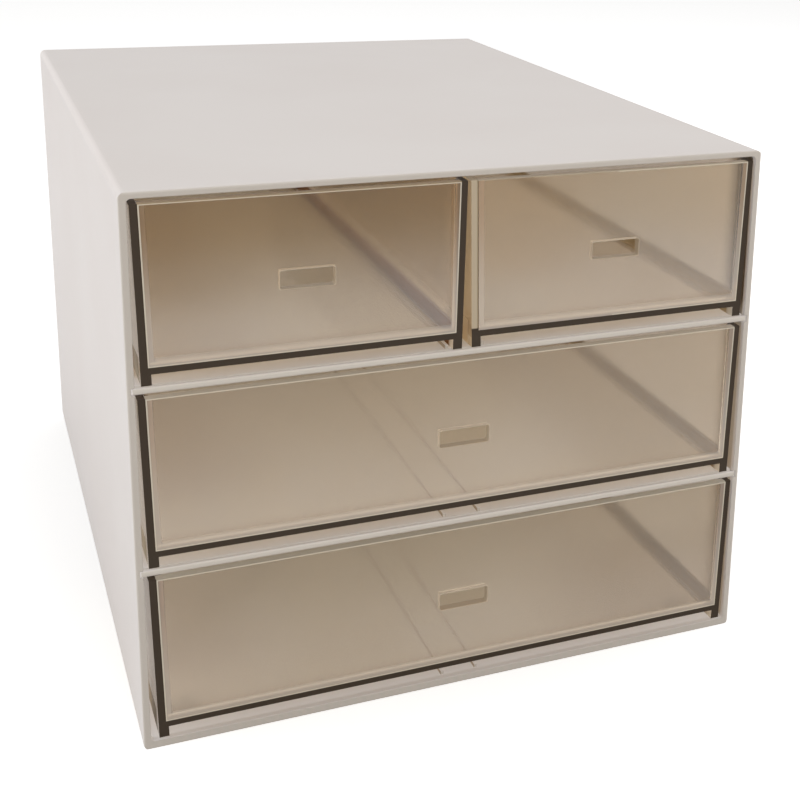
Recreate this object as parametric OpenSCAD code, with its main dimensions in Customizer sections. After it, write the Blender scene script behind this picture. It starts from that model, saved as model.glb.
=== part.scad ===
// Desktop cabinet with two small drawers side by side above two full-width drawers.
// The front faces -Y, +X is to the right, +Z is up.
// The origin is the middle of the footprint, on the surface that the cabinet stands on.

/* [Casing] */
// Width of the casing
casing_w = 260; // [220:1:320]
// Depth of the casing, front to back
casing_d = 345; // [280:1:420]
// Height of the casing, without the feet
casing_h = 222; // [190:1:270]
// Thickness of the two side walls
side_wall_t = 2.9; // [2.6:0.1:4]
// Thickness of the top
top_wall_t = 2.5; // [2.2:0.1:4]
// Thickness of the base
base_t = 3.5; // [2.6:0.1:5]
// Outside radius along the four long edges
edge_r = 3; // [1.5:0.5:6]
// Outside radius of the front and rear rims at the sides
rim_r = 1.1; // [0.4:0.1:1.3]
// Outside radius of the front and rear rims along top and base
top_rim_r = 1; // [0.4:0.1:1.3]
// Radius of the inside corners
inner_corner_r = 1.8; // [0.5:0.1:2]
// Depth of the grooves that hold the shelves, and of the rebate for the back panel
groove_depth = 1; // [1:0.1:1.2]
// Gap left round a shelf or the back panel in its groove
groove_play = 0.1; // [0.05:0.05:0.2]

/* [Shelves and back] */
// Thickness of each shelf
shelf_t = 2.5; // [2:0.1:4]
// Depth of the lip that a shelf lays over the side walls' front edges
lip_depth = 2.6; // [2.6:0.1:4]
// Side wall left standing outside each end of a lip
lip_end_wall = 1.7; // [1.2:0.1:1.7]
// Gap left round a lip in its notch
lip_play = 0.15; // [0.05:0.05:0.2]
// Radius along a lip's front edges
lip_r = 0.8; // [0.3:0.1:0.9]
// Radius at a lip's ends
lip_end_r = 1; // [0.3:0.1:1.5]
// Distance of the shadow line from the front edge of a shelf
shadow_line_y = 1; // [0.9:0.1:2]
// Width of the shadow line
shadow_line_w = 1.4; // [0.8:0.1:2]
// Depth of the shadow line
shadow_line_depth = 0.4; // [0.2:0.1:0.8]
// Distance between the middles of the two low ribs along each shelf and the base
rib_spacing = 15; // [13:0.5:24]
// Width of a rib
rib_w = 1.2; // [0.8:0.1:2]
// Height of a rib
rib_h = 1.5; // [0.5:0.1:3]
// Distance of the ribs from the front edge
rib_setback = 3; // [3:0.5:20]
// Thickness of the back panel
back_t = 2.4; // [2:0.1:4]
// Distance of the back panel from the casing's rear edge
back_recess = 0.3; // [0.1:0.1:3]

/* [Drawers] */
// Thickness of a drawer's side, front and rear walls
drawer_wall_t = 2.8; // [2:0.1:3.5]
// Thickness of a drawer's floor
drawer_floor_t = 2.4; // [1.8:0.1:3]
// Height of the two runners below a drawer's floor
runner_h = 4.2; // [3.4:0.1:6]
// Width of a runner
runner_w = 3.8; // [2:0.1:4]
// How far each side wall leans in, from rim to runner
side_draft = 1.4; // [0.5:0.1:2.5]
// Radius between floor and side walls inside a drawer
floor_fillet_r = 3; // [1:0.5:6]
// Radius between floor and front or rear wall inside a drawer
end_fillet_r = 2.4; // [1:0.1:6]
// Radius of the upright inside corners
corner_fillet_r = 3.5; // [1:0.5:8]
// How far the raised front stands out from the walls' ends
front_raise = 0.6; // [0.3:0.1:1.5]
// How far the raised front lies behind the casing's front edge
front_recess = 0.6; // [0.2:0.1:5]
// Gap between a drawer's rim and what is above it
rim_gap = 2.2; // [1:0.1:4]
// Gap between the runners and what they slide on
runner_gap = 0.2; // [0.1:0.05:0.4]
// Gap between a full-width drawer's rim and each side wall
wide_side_gap = 1.1; // [1:0.1:3]
// Gap between a small drawer's rim and the side wall
small_side_gap = 0.8; // [0.8:0.1:3]
// Gap between the rims of the two small drawers
centre_gap = 1.2; // [1:0.1:4]
// Gap between a closed drawer and the back panel
rear_gap = 3; // [1:0.5:10]
// Sideways resting place of the upper left drawer, from the middle of its play
upper_left_shift = 0.3; // [-0.4:0.1:0.3]
// Sideways resting place of the upper right drawer
upper_right_shift = 0.4; // [-0.3:0.1:0.4]
// Sideways resting place of the middle drawer
middle_shift = -0.2; // [-0.8:0.1:0.8]
// Sideways resting place of the lower drawer
lower_shift = 0.8; // [-0.8:0.1:0.8]

/* [Finger slots] */
// Width of a finger slot
slot_w = 21; // [15:0.5:40]
// Height of a finger slot
slot_h = 7.2; // [5:0.1:14]
// Corner radius of a finger slot
slot_r = 0.9; // [0.3:0.1:2.4]
// Distance from a drawer's rim down to the middle of its slot
slot_drop = 32.6; // [20:0.1:40]

/* [Centre guide] */
// Thickness of the guide's fin
fin_t = 2; // [1.4:0.1:2.2]
// Height of the fin above the shelf
fin_h = 12; // [6:0.5:18]
// Radius of the fin's upper front corner
fin_corner_r = 6; // [1:0.5:6]
// Distance of the fin from the front edge of the shelf
fin_setback = 16; // [8:1:60]
// Number of tabs that hold the fin in the shelf
tab_count = 3; // [2:1:5]
// Length of a tab
tab_len = 18; // [8:1:30]
// Gap left round a tab in its slot
tab_play = 0.1; // [0.05:0.05:0.2]

/* [Feet] */
// Diameter of a foot pad
foot_d = 12; // [8:0.5:20]
// Thickness of a foot pad
foot_h = 1.2; // [0.8:0.1:3]
// Bevel round a foot pad's lower edge
foot_bevel = 0.3; // [0.1:0.1:0.6]
// Distance of a foot's centre from the casing's side and end
foot_inset = 18; // [14:1:50]

/* [Hidden] */
$fn = 64;

shell_colour = [0.86, 0.84, 0.81];
smoke_colour = [0.47, 0.38, 0.28, 0.6];
pad_colour = [0.25, 0.25, 0.25];

// How far a cut, or a root inside another shape, reaches past its surface
past = 1;

front_y = -casing_d / 2;
rear_y = casing_d / 2;
bay_w = casing_w - 2 * side_wall_t;
groove_w = bay_w + 2 * groove_depth;
plate_w = groove_w - 2 * groove_play;
lip_w = casing_w - 2 * (lip_end_wall + lip_play);

// Heights: the casing stands on the feet, and holds three equal bays
base_z = foot_h;
base_top = base_z + base_t;
top_z = base_z + casing_h;
ceiling_z = top_z - top_wall_t;
bay_h = (ceiling_z - base_top - 2 * shelf_t) / 3;
lower_shelf_z = base_top + bay_h;
upper_shelf_z = lower_shelf_z + shelf_t + bay_h;

// The back panel stands in a rebate, and the shelves end just before it
back_y = rear_y - back_recess - back_t;
shelf_rear_y = back_y - groove_play;

// Drawer sizes follow the bays
drawer_h = bay_h - rim_gap - runner_gap;
drawer_y = front_y + front_recess;
drawer_rear_y = back_y - rear_gap;
floor_z = runner_h + drawer_floor_t;
hollow_top_z = drawer_h + rim_gap;
wide_drawer_w = bay_w - 2 * wide_side_gap;
small_drawer_w = (bay_w - 2 * small_side_gap - centre_gap) / 2;
small_drawer_x = (small_drawer_w + centre_gap) / 2;
lean_angle = atan(side_draft / drawer_h);

// The guide's fin runs from its setback to the drawers' rear
fin_y = front_y + fin_setback;
fin_len = drawer_rear_y - fin_y;

// ---- Shared shapes -------------------------------------------------------------------------

// Box given by its lowest corner and its size
module block(corner, size) {
    translate(corner) cube(size);
}

// Extrudes a shape drawn in X and Z from one Y to another
module along_depth(from_y, to_y) {
    translate([0, to_y, 0])
        rotate([90, 0, 0])
            linear_extrude(height = to_y - from_y)
                children();
}

// Extrudes a shape drawn in Y and Z over a width centred on X = 0
module along_width(w) {
    translate([-w / 2, 0, 0])
        rotate([90, 0, 90])
            linear_extrude(height = w)
                children();
}

// What a corner of radius r leaves outside its arc, with the corner at the origin
module corner_gusset(r) {
    difference() {
        square(r);
        translate([r, r]) circle(r);
    }
}

// Rectangle from the origin with all four corners rounded
module rounded_rect(size, r) {
    difference() {
        square(size);
        for (x = [0, 1], y = [0, 1])
            translate([x * size.x, y * size.y])
                mirror([x, 0])
                    mirror([0, y])
                        corner_gusset(r);
    }
}

// Rectangle from the origin with only its two corners at X = 0 rounded
module nosed_rect(size, r) {
    difference() {
        square(size);
        for (y = [0, 1])
            translate([0, y * size.y])
                mirror([0, y])
                    corner_gusset(r);
    }
}

// The two low ribs that stand on a surface at height z, rooted below it
module ribs(z) {
    rib_y = front_y + rib_setback;
    for (side = [-1, 1])
        block([side * rib_spacing / 2 - rib_w / 2, rib_y, z - past],
            [rib_w, shelf_rear_y - rib_y, past + rib_h]);
}

// ---- Casing --------------------------------------------------------------------------------

// Cross-section of the casing, with the grooves for the two shelves
module casing_section() {
    difference() {
        translate([-casing_w / 2, base_z]) rounded_rect([casing_w, casing_h], edge_r);
        translate([-bay_w / 2, base_top])
            rounded_rect([bay_w, ceiling_z - base_top], inner_corner_r);
        for (z = [lower_shelf_z, upper_shelf_z])
            translate([-groove_w / 2, z - groove_play])
                square([groove_w, shelf_t + 2 * groove_play]);
    }
}

// The casing before its cuts: the section along its depth, rounded at both rims
module rounded_sleeve() {
    intersection() {
        along_depth(front_y, rear_y) casing_section();
        translate([-casing_w / 2, front_y, base_z - past])
            linear_extrude(height = casing_h + 2 * past)
                rounded_rect([casing_w, casing_d], rim_r);
        along_width(casing_w + 2 * past)
            translate([front_y, base_z])
                rounded_rect([casing_d, casing_h], top_rim_r);
    }
}

// Notches in the front rim for the lips of the shelves
module lip_notches() {
    notch_w = lip_w + 2 * lip_play;
    for (z = [lower_shelf_z, upper_shelf_z])
        block([-notch_w / 2, front_y - past, z - lip_play],
            [notch_w, past + lip_depth + lip_play, shelf_t + 2 * lip_play]);
}

// Rebate in the rear rim for the back panel
module back_rebate() {
    rebate_y = back_y - groove_play;
    block([-groove_w / 2, rebate_y, base_top - groove_depth],
        [groove_w, rear_y - rebate_y + past, ceiling_z - base_top + 2 * groove_depth]);
}

module casing() {
    color(shell_colour)
    union() {
        difference() {
            rounded_sleeve();
            lip_notches();
            back_rebate();
        }
        ribs(base_top);
    }
}

// ---- Shelves and back ----------------------------------------------------------------------

// One shelf with its underside at height z
module shelf(z) {
    plate_y = front_y + lip_depth / 2;
    difference() {
        union() {
            block([-plate_w / 2, plate_y, z], [plate_w, shelf_rear_y - plate_y, shelf_t]);
            along_width(lip_w)
                translate([front_y, z])
                    nosed_rect([lip_depth, shelf_t], lip_r);
            ribs(z + shelf_t);
        }
        for (side = [0, 1])
            mirror([side, 0, 0])
                translate([-lip_w / 2, front_y, z - past])
                    linear_extrude(height = shelf_t + 2 * past)
                        corner_gusset(lip_end_r);
        block([-bay_w / 2, front_y + shadow_line_y, z + shelf_t - shadow_line_depth],
            [bay_w, shadow_line_w, shadow_line_depth + past]);
    }
}

module lower_shelf() {
    color(shell_colour) shelf(lower_shelf_z);
}

// The upper shelf also has the slots for the centre guide's tabs
module upper_shelf() {
    color(shell_colour)
    difference() {
        shelf(upper_shelf_z);
        guide_tabs(upper_shelf_z - past, shelf_t + 2 * past, tab_play);
    }
}

module back_panel() {
    panel_h = ceiling_z - base_top + 2 * (groove_depth - groove_play);
    color(shell_colour)
    block([-plate_w / 2, back_y, base_top - groove_depth + groove_play], [plate_w, back_t, panel_h]);
}

// ---- Centre guide --------------------------------------------------------------------------

// The tabs below the fin, from height z up, grown on each side by the given play
module guide_tabs(z, h, play) {
    for (i = [0 : tab_count - 1])
        translate([-fin_t / 2 - play, fin_y + fin_len * (i + 0.5) / tab_count - tab_len / 2 - play, z])
            cube([fin_t + 2 * play, tab_len + 2 * play, h]);
}

// Upright fin that keeps the two small drawers apart
module centre_guide() {
    color(shell_colour)
    union() {
        along_width(fin_t)
            translate([fin_y, upper_shelf_z + shelf_t])
                difference() {
                    square([fin_len, fin_h]);
                    translate([0, fin_h]) mirror([0, 1]) corner_gusset(fin_corner_r);
                }
        guide_tabs(upper_shelf_z, shelf_t, 0);
    }
}

// ---- Drawers -------------------------------------------------------------------------------

// Half of a drawer's outside width at height z above its runners' soles
function half_width(w, z) = w / 2 - side_draft * (1 - z / drawer_h);

// Upright four-sided outline of a drawer between two heights, its sides moved in by inset
module drawer_outline(w, from_z, to_z, inset = 0) {
    low = half_width(w, from_z) - inset;
    high = half_width(w, to_z) - inset;
    polygon([[-low, from_z], [low, from_z], [high, to_z], [-high, to_z]]);
}

// Gusset that rounds a lower inside corner whose wall leans out by the given angle. It reaches past
// both surfaces, and its arc crosses the wall a hair outside, so that they meet in one clean line.
module leaning_gusset(r, lean) {
    hair = r / 300;
    centre_x = (r - hair) * (1 - sin(lean)) / cos(lean);
    reach = r + past;
    difference() {
        polygon([[-past, -past], [centre_x, -past], [centre_x, r],
            [centre_x - reach * cos(lean), r - reach * sin(lean)]]);
        translate([centre_x, r]) circle(r);
    }
}

// Hollow of a drawer, seen from the front
module hollow_section(w) {
    foot_x = half_width(w, floor_z) - drawer_wall_t;
    difference() {
        drawer_outline(w, floor_z, hollow_top_z, drawer_wall_t);
        for (side = [0, 1])
            mirror([side, 0])
                translate([-foot_x, floor_z])
                    leaning_gusset(floor_fillet_r, lean_angle);
    }
}

// Hollow of a drawer, seen from its side, from inside the front wall on
module hollow_side_section(hollow_len) {
    translate([0, floor_z])
        difference() {
            square([hollow_len, hollow_top_z - floor_z]);
            for (end = [0, 1])
                translate([end * hollow_len, 0])
                    mirror([end, 0])
                        corner_gusset(end_fillet_r);
        }
}

// The whole hollow, from inside the front wall to inside the rear wall
module drawer_hollow(w, hollow_len) {
    top_half = half_width(w, hollow_top_z) - drawer_wall_t;
    intersection() {
        along_depth(0, hollow_len) hollow_section(w);
        along_width(w) hollow_side_section(hollow_len);
        translate([-top_half, 0, 0])
            linear_extrude(height = hollow_top_z)
                rounded_rect([2 * top_half, hollow_len], corner_fillet_r);
    }
}

// Finger slot outline, centred on the origin
module slot_outline() {
    translate([-slot_w / 2, -slot_h / 2]) rounded_rect([slot_w, slot_h], slot_r);
}

// One drawer, its raised front at y = 0 and its runners' soles at z = 0
module drawer(w) {
    rear = drawer_rear_y - drawer_y;
    hollow_y = front_raise + drawer_wall_t;
    color(smoke_colour)
    difference() {
        union() {
            along_depth(front_raise, rear)
                difference() {
                    drawer_outline(w, 0, drawer_h);
                    drawer_outline(w, -past, runner_h, runner_w);
                }
            along_depth(0, hollow_y) drawer_outline(w, floor_z, drawer_h, drawer_wall_t);
        }
        translate([0, hollow_y, 0]) drawer_hollow(w, rear - drawer_wall_t - hollow_y);
        along_depth(-past, hollow_y + past)
            translate([0, drawer_h - slot_drop])
                slot_outline();
    }
}

// Puts a drawer into its bay, on the surface at height z
module drawer_in_bay(w, x, z) {
    translate([x, drawer_y, z + runner_gap]) drawer(w);
}

module upper_left_drawer() {
    drawer_in_bay(small_drawer_w, upper_left_shift - small_drawer_x, upper_shelf_z + shelf_t);
}

module upper_right_drawer() {
    drawer_in_bay(small_drawer_w, upper_right_shift + small_drawer_x, upper_shelf_z + shelf_t);
}

module middle_drawer() {
    drawer_in_bay(wide_drawer_w, middle_shift, lower_shelf_z + shelf_t);
}

module lower_drawer() {
    drawer_in_bay(wide_drawer_w, lower_shift, base_top);
}

// ---- Feet ----------------------------------------------------------------------------------

// One pad: side is -1 on the left, end is -1 at the front
module foot(side, end) {
    r = foot_d / 2;
    color(pad_colour)
    translate([side * (casing_w / 2 - foot_inset), end * (casing_d / 2 - foot_inset), 0])
        rotate_extrude()
            polygon([[0, 0], [r - foot_bevel, 0], [r, foot_bevel], [r, foot_h], [0, foot_h]]);
}

module foot_front_left() {
    foot(-1, -1);
}

module foot_front_right() {
    foot(1, -1);
}

module foot_rear_left() {
    foot(-1, 1);
}

module foot_rear_right() {
    foot(1, 1);
}

casing();
lower_shelf();
upper_shelf();
back_panel();
centre_guide();
upper_left_drawer();
upper_right_drawer();
middle_drawer();
lower_drawer();
foot_front_left();
foot_front_right();
foot_rear_left();
foot_rear_right();
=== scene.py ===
import bpy
from mathutils import Matrix, Vector


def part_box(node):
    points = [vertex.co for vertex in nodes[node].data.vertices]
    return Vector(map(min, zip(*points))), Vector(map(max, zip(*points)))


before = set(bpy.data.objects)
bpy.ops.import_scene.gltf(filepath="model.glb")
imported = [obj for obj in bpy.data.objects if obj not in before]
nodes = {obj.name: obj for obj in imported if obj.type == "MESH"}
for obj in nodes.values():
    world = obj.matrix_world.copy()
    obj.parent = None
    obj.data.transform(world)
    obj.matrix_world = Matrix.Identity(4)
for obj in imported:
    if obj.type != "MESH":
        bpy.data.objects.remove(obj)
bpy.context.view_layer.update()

scene = bpy.context.scene

MM = 0.001

# ---- Sizes, as in the CAD ---------------------------------------------------------------------

# The bays: half their width, the base's top, the ceiling, the back panel's face, and where the
# casing's front rims pass into its inner faces
BAY_HALF = 127.1 * MM
BASE_TOP = 4.7 * MM
CEILING = 220.7 * MM
BACK = 169.8 * MM
RIM_END = -170.0 * MM

# A drawer: its raised front's face, the plane of its walls' cut ends behind that, the front wall's
# inner face, its walls, the lean of its sides, its runners' height, its floor's height above their
# soles, and its slot
FRONT = -171.9 * MM
WALL = 2.8 * MM
WALL_ENDS = FRONT + 0.6 * MM
FRONT_BACK = WALL_ENDS + WALL
SIDE_DRAFT = 1.4 * MM
RUNNER = 4.2 * MM
FLOOR_UP = 6.6 * MM
SLOT_W, SLOT_H, SLOT_DROP = 21.0 * MM, 7.2 * MM, 32.6 * MM

# ---- Colours ----------------------------------------------------------------------------------

# The off-white plastic's clouds, and for the casing and the shelves a painted shade on the faces
# towards the front and painted light on the decks' middle
SHELL_DARK = (0.715, 0.668, 0.648)
SHELL_LIGHT = (0.735, 0.694, 0.676)
CASING_FRONT_SHADE, CASING_DECK_LIGHT = (0.60, 0.55, 0.50), (0.74, 0.71, 0.68)
SHELF_FRONT_SHADE, SHELF_DECK_LIGHT = (0.67, 0.62, 0.56), (0.86, 0.83, 0.81)
# Painted shade on the decks: at the right of the lower two, and at the left of the upper one
DECK_RIGHT_SHADE = (0.56, 0.51, 0.48)
DECK_LEFT_SHADE = (0.58, 0.49, 0.40)
# Painted shade on the inner side walls beside the drawers' fronts, lighter on the right one
# beside the wide drawers
MOUTH = (0.10, 0.075, 0.05)
MOUTH_RIGHT = (0.55, 0.49, 0.42)
# Painted shade on the side faces of the decks' ribs
RIB_SIDE_SHADE = (0.34, 0.28, 0.22)

FOOT_DARK = (0.010, 0.010, 0.011)
FOOT_LIGHT = (0.022, 0.021, 0.021)

# The drawers' plastic to the eye, its absorption, and its tint for lamps and soft light
SMOKE = (0.98, 0.97, 0.97)
SOAK = (0.86, 0.72, 0.46)
CLEAR = (0.96, 0.955, 0.95)
# Its places of another colour: the raised front's edges low down and its outline, a painted
# highlight, the cut ends and, where one is pale, that one and the seam beside it
RUNNERS = (0.80, 0.74, 0.64)
SLOT_EDGE = (0.86, 0.76, 0.62)
EDGE_FOOT = (0.79, 0.71, 0.63)
OUTLINE_HIGHLIGHT = (0.76, 0.69, 0.57)
CUT_END = (0.035, 0.020, 0.008)
PALE_END = (0.52, 0.43, 0.31)
PALE_END_SEAM = (0.34, 0.27, 0.18)
# Painted shade on the front wall's top under the rim above it, as a share of the front's colour
LID_SHADE_SHARE = (0.62, 0.57, 0.50)

# How solid the drawers' plastic is: 0 is clear, 1 lets nothing through
HAZE_FOOT = 0.21
BAND_SOLID = 0.55
OUTLINE_SOLID = 0.85
SLOT_SOLID = 0.45
LID_SOLID = 0.8
SIDE_SOLID = 0.6
# The roughness of its cut ends and corners
MATT = 0.6
PLASTIC_IOR = 1.5

WHITE = (1.0, 1.0, 1.0)
SOFT_LIGHT = (1.0, 0.99, 0.975)
SURROUND = (0.8, 0.8, 0.8)
SOFT_STRENGTH = 0.42
FLOOR_GREY = (0.68, 0.68, 0.68)
FLOOR_GLOW = 0.62
FLOOR_REACH = 6.0

# For each drawer: how strongly its plastic soaks up light, its front's haze at the top, whether its
# left wall's cut end is pale, the painted shade of its front's top and of that front's edges at
# the top, the painted shade in the corner between floor and sides and on the left side, and the
# painted reflections, darker patches, over its front's upper left and lower right
DRAWERS = {
    "upper_left_drawer": dict(
        soak_density=135.0, haze_top=0.03, pale_left=False,
        front_top_shade=(0.77, 0.63, 0.44), edge_top_shade=(0.40, 0.27, 0.16),
        corner_painted_shade=(0.14, 0.05, 0.005), side_painted_shade=(0.30, 0.25, 0.18),
        left_painted_reflection=(0.84, 0.78, 0.69), right_painted_reflection=WHITE),
    "upper_right_drawer": dict(
        soak_density=140.0, haze_top=0.07, pale_left=True,
        front_top_shade=(0.96, 0.90, 0.79), edge_top_shade=(0.62, 0.45, 0.31),
        corner_painted_shade=(0.42, 0.32, 0.18), side_painted_shade=(0.64, 0.53, 0.38),
        left_painted_reflection=(1.0, 0.92, 0.83), right_painted_reflection=WHITE),
    "middle_drawer": dict(
        soak_density=120.0, haze_top=0.07, pale_left=False,
        front_top_shade=(0.95, 0.92, 0.87), edge_top_shade=(0.62, 0.49, 0.39),
        corner_painted_shade=(0.30, 0.22, 0.13), side_painted_shade=(0.30, 0.25, 0.18),
        left_painted_reflection=(0.87, 0.85, 0.86), right_painted_reflection=(0.95, 0.94, 0.91)),
    "lower_drawer": dict(
        soak_density=125.0, haze_top=0.06, pale_left=False,
        front_top_shade=(0.93, 0.91, 0.86), edge_top_shade=(0.60, 0.47, 0.38),
        corner_painted_shade=(0.30, 0.23, 0.15), side_painted_shade=(0.10, 0.08, 0.055),
        left_painted_reflection=(0.90, 0.90, 0.93), right_painted_reflection=(0.85, 0.83, 0.81)),
}
SHELVES = ["lower_shelf", "upper_shelf", "back_panel", "centre_guide"]
FEET = ["foot_front_left", "foot_front_right", "foot_rear_left", "foot_rear_right"]

# ---- Camera and lamps -------------------------------------------------------------------------

# The camera fitted to the photo: the picture's size, the focal length and the place where the
# optical axis meets the picture, in pixels, then where the camera stands and how it is turned
PICTURE_W, PICTURE_H = 800, 789
FOCAL = 1382.34
AXIS_X, AXIS_Y = 537.72, 214.86
CAMERA_AT = (-0.18242, -0.65232, 0.34284)
CAMERA_RIGHT = (0.91819, -0.39497, 0.03036)
CAMERA_AHEAD = (0.38898, 0.88448, -0.25765)
SENSOR = 36.0

# The lamps' names, places, sizes, watts and colours, and what they all point at
LAMPS = (
    ("key_left", (-1.95, 0.15, 0.4), 1.2, 26.0, WHITE),
    ("right", (1.95, 0.1, 0.3), 1.2, 26.0, WHITE),
    ("top", (-0.1, 0.4, 1.9), 1.2, 5.5, WHITE),
    ("front", (0.3, -1.6, 1.3), 0.8, 12.0, (1.0, 0.96, 0.89)),
)
LAMPS_AIM = (0, 0, 0.12)


def make_camera():
    cam = bpy.data.objects.new("camera", bpy.data.cameras.new("camera"))
    scene.collection.objects.link(cam)
    right = Vector(CAMERA_RIGHT).normalized()
    ahead = Vector(CAMERA_AHEAD).normalized()
    turn = Matrix((right, right.cross(ahead), -ahead)).transposed().to_4x4()
    cam.matrix_world = Matrix.Translation(CAMERA_AT) @ turn
    cam.data.sensor_fit = "HORIZONTAL"
    cam.data.sensor_width = SENSOR
    cam.data.lens = FOCAL * SENSOR / PICTURE_W
    cam.data.shift_x = (PICTURE_W / 2 - AXIS_X) / PICTURE_W
    cam.data.shift_y = (AXIS_Y - PICTURE_H / 2) / PICTURE_W
    cam.data.clip_start = 0.02
    cam.data.clip_end = 40.0
    scene.camera = cam


def make_lamp(name, at, size, watts, colour):
    data = bpy.data.lights.new(name, "AREA")
    data.shape = "SQUARE"
    data.size = size
    data.energy = watts
    data.color = colour
    lamp = bpy.data.objects.new(name, data)
    scene.collection.objects.link(lamp)
    lamp.location = at
    lamp.rotation_euler = (Vector(LAMPS_AIM) - Vector(at)).to_track_quat("-Z", "Y").to_euler()


# ---- Node helpers -----------------------------------------------------------------------------

class Graph:
    """A node tree, with short calls to add and join nodes. A value is a socket or a constant."""

    def __init__(self, tree):
        self.tree = tree
        self.tree.nodes.clear()

    def node(self, kind, **values):
        n = self.tree.nodes.new(kind)
        for key, value in values.items():
            setattr(n, key, value)
        return n

    def put(self, socket, value):
        if isinstance(value, bpy.types.NodeSocket):
            self.tree.links.new(value, socket)
        elif isinstance(value, tuple):
            socket.default_value = (*value, 1.0)
        else:
            socket.default_value = value

    def math(self, op, a, b=0.0):
        n = self.node("ShaderNodeMath", operation=op)
        self.put(n.inputs[0], a)
        self.put(n.inputs[1], b)
        return n.outputs[0]

    def chain(self, op, first, *others):
        for value in others:
            first = self.math(op, first, value)
        return first

    def product(self, *values):
        return self.chain("MULTIPLY", *values)

    def most(self, *values):
        return self.chain("MAXIMUM", *values)

    def ramp(self, value, low, high, to_low=0.0, to_high=1.0, smooth=True):
        """to_low up to low, to_high from high on, and a smooth or a straight slope between."""
        n = self.node("ShaderNodeMapRange", interpolation_type="SMOOTHSTEP" if smooth else "LINEAR")
        n.clamp = True
        self.put(n.inputs["Value"], value)
        self.put(n.inputs["From Min"], low)
        self.put(n.inputs["From Max"], high)
        self.put(n.inputs["To Min"], to_low)
        self.put(n.inputs["To Max"], to_high)
        return n.outputs[0]

    def rise(self, place, edge, start, end, before=0.0, after=1.0):
        """A smooth slope from before, at start mm past the edge, to after, at end mm past it."""
        return self.ramp(place, edge + start * MM, edge + end * MM, before, after)

    def fade(self, place, edge, start, end):
        return self.rise(place, edge, start, end, 1.0, 0.0)

    def mix(self, factor, a, b, blend="MIX"):
        n = self.node("ShaderNodeMix", data_type="RGBA", blend_type=blend)
        self.put(n.inputs["Factor"], factor)
        self.put(n.inputs[6], a)
        self.put(n.inputs[7], b)
        return n.outputs[2]

    def layers(self, colour, *coats):
        """A colour with coats over it, each a mask, a colour and, if it isn't MIX, a blend."""
        for mask, *coat in coats:
            colour = self.mix(mask, colour, *coat)
        return colour

    def coordinates(self, kind):
        return self.node("ShaderNodeTexCoord").outputs[kind]

    def split(self, vector):
        n = self.node("ShaderNodeSeparateXYZ")
        self.put(n.inputs[0], vector)
        return n.outputs["X"], n.outputs["Y"], n.outputs["Z"]

    def noise(self, vector, scale, detail, rough):
        n = self.node("ShaderNodeTexNoise")
        self.put(n.inputs["Vector"], vector)
        self.put(n.inputs["Scale"], scale)
        self.put(n.inputs["Detail"], detail)
        self.put(n.inputs["Roughness"], rough)
        return n.outputs["Fac"]

    def bump(self, height, distance, strength, normal=None):
        n = self.node("ShaderNodeBump")
        self.put(n.inputs["Strength"], strength)
        self.put(n.inputs["Distance"], distance)
        self.put(n.inputs["Height"], height)
        if normal is not None:
            self.put(n.inputs["Normal"], normal)
        return n.outputs["Normal"]

    def rays(self, *kinds):
        """1 for rays of any of the named kinds."""
        path = self.node("ShaderNodeLightPath")
        return self.most(*(path.outputs["Is %s Ray" % kind] for kind in kinds))

    def light(self, kind, colour, strength):
        n = self.node(kind)
        self.put(n.inputs["Color"], colour)
        self.put(n.inputs["Strength"], strength)
        return n.outputs[0]

    def mix_shaders(self, factor, a, b):
        n = self.node("ShaderNodeMixShader")
        self.put(n.inputs["Fac"], factor)
        self.put(n.inputs[1], a)
        self.put(n.inputs[2], b)
        return n.outputs[0]


def new_material(name):
    """A material without nodes, and the Graph of its tree."""
    mat = bpy.data.materials.new(name)
    mat.use_nodes = True
    return mat, Graph(mat.node_tree)


def put_on(material, *names):
    for name in names:
        slots = nodes[name].data.materials
        slots.clear()
        slots.append(material)


# ---- Materials --------------------------------------------------------------------------------

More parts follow.
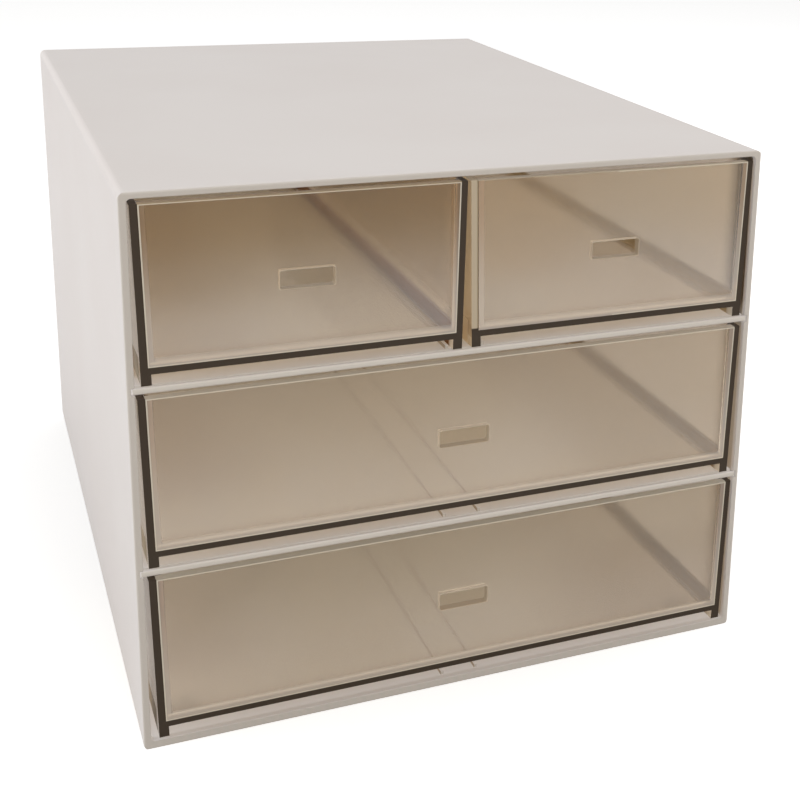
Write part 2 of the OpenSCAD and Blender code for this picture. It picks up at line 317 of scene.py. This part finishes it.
def shell_plastic(name, front_painted_shade, deck_painted_light):
    """Warm off-white moulded plastic, satin, with faint clouds, a fine spark texture and worn edges.

    The first colour is a painted shade on the faces towards the front, the second is painted
    light on the middle of the decks inside."""
    mat, g = new_material(name)
    at = g.coordinates("Object")
    x, y, z = g.split(at)
    wide = g.math("ABSOLUTE", x)
    side_n, face_n, up_n = g.split(g.coordinates("Normal"))
    side_n = g.math("ABSOLUTE", side_n)
    upper = g.rise(z, 0, 140, 150)
    lower = g.fade(z, 0, 140, 150)

    # the bays' faces
    inside = g.product(
        g.fade(wide, BAY_HALF, 0.2, 0.4),
        g.rise(z, BASE_TOP, -0.4, -0.2), g.rise(y, RIM_END, -0.2, 0.2),
        g.fade(z, CEILING, 0.2, 0.4), g.fade(y, BACK, 0.2, 0.4))
    deck = g.product(inside, g.rise(y, 0, -164, -156), g.ramp(up_n, 0.8, 0.9))
    deck_middle = g.product(g.rise(x, 0, -115, -60), g.fade(x, 0, 30, 100))
    # painted shade on the inner side walls beside the drawers' fronts
    mouth = g.product(
        g.rise(wide, BAY_HALF, -0.9, -0.5), g.fade(wide, BAY_HALF, 0.2, 0.4),
        g.ramp(side_n, 0.7, 0.9), g.rise(y, RIM_END, -0.7, -0.1), g.fade(y, RIM_END, 2, 20))
    mouth_right = g.product(g.rise(x, 0, 120, 125), g.fade(z, 0, 140, 160))
    # painted shade on the side faces of the ribs on the decks
    rib_sides = g.product(
        inside, g.ramp(side_n, 0.25, 0.6), g.rise(wide, 0, 2, 3), g.fade(wide, 0, 120, 121))
    base = g.layers(
        g.mix(g.ramp(g.noise(at, 9.0, 3.0, 0.55), 0.3, 0.7), SHELL_DARK, SHELL_LIGHT),
        # painted shade on the faces towards the front, and painted light on the decks' middle
        (g.ramp(face_n, -0.9, -0.5, 1.0, 0.0), front_painted_shade),
        (g.product(deck, deck_middle), deck_painted_light),
        # painted shade at the right of the lower two decks and at the left of the upper one
        (g.product(deck, g.rise(x, 0, 40, 110), lower), DECK_RIGHT_SHADE),
        (g.product(deck, g.fade(x, 0, -100, -50), upper), DECK_LEFT_SHADE),
        (mouth, g.mix(mouth_right, MOUTH, MOUTH_RIGHT)),
        (rib_sides, RIB_SIDE_SHADE))

    worn = g.node("ShaderNodeBevel", samples=6)
    worn.inputs["Radius"].default_value = 0.6 * MM
    sparks = g.noise(at, 900.0, 2.0, 0.6)
    plastic = g.node("ShaderNodeBsdfPrincipled")
    g.put(plastic.inputs["Base Color"], base)
    g.put(plastic.inputs["Roughness"], g.ramp(g.noise(at, 35.0, 4.0, 0.6), 0.25, 0.75, 0.43, 0.47))
    plastic.inputs["IOR"].default_value = PLASTIC_IOR
    g.put(plastic.inputs["Normal"], g.bump(sparks, 0.02 * MM, 0.35, worn.outputs["Normal"]))

    # the thin walls glow inside, less so at the mouth and on the right
    glow = g.node("ShaderNodeBsdfTranslucent")
    g.put(glow.inputs["Color"], base)
    right_wall = g.rise(x, BAY_HALF, -0.9, -0.5)
    right_low = g.product(right_wall, g.fade(z, 0, 145, 155))
    glow_part = g.product(
        inside, g.ramp(mouth, 0.0, 1.0, 0.40, 0.05),
        g.ramp(right_wall, 0.0, 1.0, 1.0, 0.75), g.ramp(right_low, 0.0, 1.0, 1.0, 0.80))
    wall = g.mix_shaders(glow_part, plastic.outputs[0], glow.outputs[0])

    # and let light into the bays, through top and back less than through the sides
    leak = g.product(
        g.rise(z, CEILING, -0.4, -0.1, 0.96, 0.50), g.rise(y, BACK, -0.8, -0.3, 1.0, 0.45))
    clear = g.node("ShaderNodeBsdfTransparent")
    surface = g.mix_shaders(
        g.product(g.rays("Shadow", "Diffuse"), leak), wall, clear.outputs[0])
    g.put(g.node("ShaderNodeOutputMaterial").inputs["Surface"], surface)
    return mat


def foot_pad():
    """Soft matt dark grey pad with a fine grain."""
    mat, g = new_material("foot_pad")
    grain = g.noise(g.coordinates("Object"), 1400.0, 3.0, 0.6)
    pad = g.node("ShaderNodeBsdfPrincipled")
    g.put(pad.inputs["Base Color"], g.mix(grain, FOOT_DARK, FOOT_LIGHT))
    g.put(pad.inputs["Roughness"], g.ramp(grain, 0.3, 0.7, 0.72, 0.9))
    g.put(pad.inputs["Normal"], g.bump(grain, 0.06 * MM, 0.6))
    g.put(g.node("ShaderNodeOutputMaterial").inputs["Surface"], pad.outputs[0])
    return mat


def smoke_plastic(drawer, soak_density, haze_top, pale_left, front_top_shade, edge_top_shade, corner_painted_shade,
                  side_painted_shade, left_painted_reflection, right_painted_reflection):
    """Clear smoke-brown plastic: real glass for what is looked at, clear for lamps and soft light.

    The raised front's face is hazy, most of all low down. The walls' cut ends hold their light in,
    so they look dark, and the slot's edge and the runners have a colour of their own."""
    low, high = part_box(drawer)
    middle = (low.x + high.x) / 2
    mat, g = new_material("smoke_plastic_" + drawer)
    at = g.coordinates("Object")
    x, y, z = g.split(at)
    face_n = g.split(g.coordinates("Normal"))[1]
    off = g.math("ABSOLUTE", g.math("SUBTRACT", x, middle))
    up = g.math("SUBTRACT", z, low.z)
    left = g.fade(x, middle, -1, 0)

    # how far inside the raised front's sides a place is
    lean = g.product(g.math("SUBTRACT", high.z, z), SIDE_DRAFT / (high.z - low.z))
    within = g.math("SUBTRACT", (high.x - low.x) / 2 - WALL, g.math("ADD", lean, off))
    # and how far it is from the nearest of the raised front's sides and foot
    inset = g.math("MINIMUM", within, g.math("SUBTRACT", up, FLOOR_UP + 0.4 * MM))

    # the raised front's haze is densest at the foot and the sides, and its very edge has a painted
    # highlight
    face = g.fade(y, FRONT, 0.1, 0.3)
    clouds = g.ramp(g.noise(at, 14.0, 3.0, 0.6), 0.25, 0.75, 0.85, 1.15)
    haze = g.product(g.ramp(up, 10 * MM, 68 * MM, HAZE_FOOT, haze_top, smooth=False), clouds)
    band = g.most(g.fade(up, FLOOR_UP, 1, 7), g.fade(within, 0, 2.0, 2.6))
    haze = g.most(haze, g.product(band, BAND_SOLID))
    outline = g.product(
        g.most(g.rise(inset, 0, 0.4, 0.6, OUTLINE_SOLID, 0.0),
               g.rise(z, high.z, -0.6, -0.4, 0.0, OUTLINE_SOLID)), face)
    if pale_left:
        outline = g.product(outline, g.ramp(left, 0.0, 1.0, 1.0, 0.0))
    haze = g.most(g.product(haze, face), outline)

    # the cut ends of walls, floor and runners, and painted shade on the side walls' top edges
    # beside them, darkest at the front
    ends = g.most(
        g.product(g.rise(y, WALL_ENDS, -0.3, -0.1), g.fade(y, WALL_ENDS, 0.1, 0.3),
                  g.ramp(face_n, -0.9, -0.8, 1.0, 0.0)),
        g.product(g.fade(up, FLOOR_UP, 0.3, 0.5), face),
        g.product(g.rise(z, high.z, -0.6, -0.4), g.fade(within, 0, -0.2, 0),
                  g.fade(y, FRONT, 4, 40)))
    slot_up = g.math("ABSOLUTE", g.math("SUBTRACT", z, high.z - SLOT_DROP))
    slot_edge = g.product(
        g.fade(off, SLOT_W / 2, 0.1, 0.3), g.fade(slot_up, SLOT_H / 2, 0.1, 0.3),
        g.fade(y, FRONT_BACK, 0, 0.2))
    runner = g.fade(up, RUNNER, -0.2, 0.1)
    # painted shade in the corner between the floor and the side walls
    corner = g.product(
        g.fade(within, 0, 3, 4), g.fade(up, FLOOR_UP, 3, 4), g.rise(y, FRONT, 4, 6))
    # the front wall's top, with painted shade under the rim above it, and the outer face of the
    # left wall near the front, with painted shade of the narrow gap beside it
    lid = g.product(
        g.rise(z, high.z, -0.3, -0.1), g.rise(within, 0, -0.2, 0), g.fade(y, FRONT_BACK, 0, 0.4))
    lid_painted_shade = tuple(a * b for a, b in zip(front_top_shade, LID_SHADE_SHARE))
    outer = g.product(g.fade(within, 0, -2.7, -2.4), left, g.fade(y, FRONT, 12, 30))

    end_tint = CUT_END
    if pale_left:
        pale = g.product(left, g.rise(up, FLOOR_UP, 0.8, 1.4))
        seam = g.fade(g.math("ABSOLUTE", g.math("ADD", within, 0.2 * MM)), 0, 0.2, 0.4)
        end_tint = g.mix(pale, end_tint, g.mix(seam, PALE_END, PALE_END_SEAM))
    # painted reflections: darker patches over the front's upper left and lower right
    upper_left = g.product(g.rise(up, 0, 18, 38), face, g.fade(x, low.x, 10, 75))
    lower_right = g.product(g.fade(up, 0, 40, 60), face, g.rise(x, high.x, -110, -50))
    tint = g.layers(
        SMOKE,
        (runner, RUNNERS),
        # painted shade: the front darker towards its top
        (g.product(g.rise(up, 0, 20, 62), face), front_top_shade),
        (upper_left, left_painted_reflection, "MULTIPLY"),
        (lower_right, right_painted_reflection, "MULTIPLY"),
        (corner, corner_painted_shade),
        (slot_edge, SLOT_EDGE),
        # the raised front's edges, with painted shade towards the top
        (g.product(band, face), g.mix(g.rise(up, 0, 12, 62), EDGE_FOOT, edge_top_shade)),
        (g.ramp(outline, 0.0, 0.5), OUTLINE_HIGHLIGHT),
        (lid, lid_painted_shade),
        (outer, side_painted_shade),
        (ends, end_tint))
    solid = g.most(
        haze, g.product(slot_edge, SLOT_SOLID), g.product(g.most(lid, runner), LID_SOLID),
        g.product(g.most(outer, corner), SIDE_SOLID), ends)
    rough = g.most(
        g.ramp(g.noise(at, 60.0, 3.0, 0.6), 0.3, 0.7, 0.08, 0.13),
        g.product(g.most(ends, corner), MATT))

    plastic = g.node("ShaderNodeBsdfPrincipled")
    g.put(plastic.inputs["Base Color"], tint)
    g.put(plastic.inputs["Transmission Weight"], g.math("SUBTRACT", 1.0, solid))
    plastic.inputs["IOR"].default_value = PLASTIC_IOR
    g.put(plastic.inputs["Roughness"], rough)
    clear = g.node("ShaderNodeBsdfTransparent")
    g.put(clear.inputs["Color"], CLEAR)
    soak = g.node("ShaderNodeVolumeAbsorption")
    soak.inputs["Color"].default_value = (*SOAK, 1.0)
    soak.inputs["Density"].default_value = soak_density
    out = g.node("ShaderNodeOutputMaterial")
    g.put(out.inputs["Surface"],
          g.mix_shaders(g.rays("Shadow", "Diffuse"), plastic.outputs[0], clear.outputs[0]))
    g.put(out.inputs["Volume"], soak.outputs[0])
    return mat


# ---- Surroundings -----------------------------------------------------------------------------

def make_world():
    """Soft light, a pale surround in reflections and through glass, and white to the camera."""
    world = bpy.data.worlds.new("studio")
    scene.world = world
    world.use_nodes = True
    g = Graph(world.node_tree)
    surface = g.light("ShaderNodeBackground", SOFT_LIGHT, SOFT_STRENGTH)
    for kind, colour in (("Glossy", SURROUND), ("Transmission", SURROUND), ("Camera", WHITE)):
        seen = g.light("ShaderNodeBackground", colour, 1.0)
        surface = g.mix_shaders(g.rays(kind), surface, seen)
    g.put(g.node("ShaderNodeOutputWorld").inputs["Surface"], surface)


def make_floor():
    """A wide pale floor that keeps a faint shadow and glows only where it is looked at."""
    mesh = bpy.data.meshes.new("floor")
    r = FLOOR_REACH
    mesh.from_pydata([(-r, -r, 0), (r, -r, 0), (r, r, 0), (-r, r, 0)], [], [(0, 1, 2, 3)])
    obj = bpy.data.objects.new("floor", mesh)
    scene.collection.objects.link(obj)
    mat, g = new_material("floor")
    matt = g.node("ShaderNodeBsdfPrincipled")
    g.put(matt.inputs["Base Color"], FLOOR_GREY)
    matt.inputs["Roughness"].default_value = 0.9
    matt.inputs["Specular IOR Level"].default_value = 0.1
    dark, glow = (g.light("ShaderNodeEmission", WHITE, strength) for strength in (0.0, FLOOR_GLOW))
    both = g.node("ShaderNodeAddShader")
    g.put(both.inputs[0], matt.outputs[0])
    g.put(both.inputs[1], g.mix_shaders(g.rays("Camera", "Transmission"), dark, glow))
    g.put(g.node("ShaderNodeOutputMaterial").inputs["Surface"], both.outputs[0])
    mesh.materials.append(mat)


scene.view_settings.view_transform = "Standard"
make_camera()
make_world()
make_floor()
for lamp in LAMPS:
    make_lamp(*lamp)

put_on(shell_plastic("casing_plastic", CASING_FRONT_SHADE, CASING_DECK_LIGHT), "casing")
put_on(shell_plastic("shelf_plastic", SHELF_FRONT_SHADE, SHELF_DECK_LIGHT), *SHELVES)
put_on(foot_pad(), *FEET)
for name, smoke in DRAWERS.items():
    put_on(smoke_plastic(name, **smoke), name)
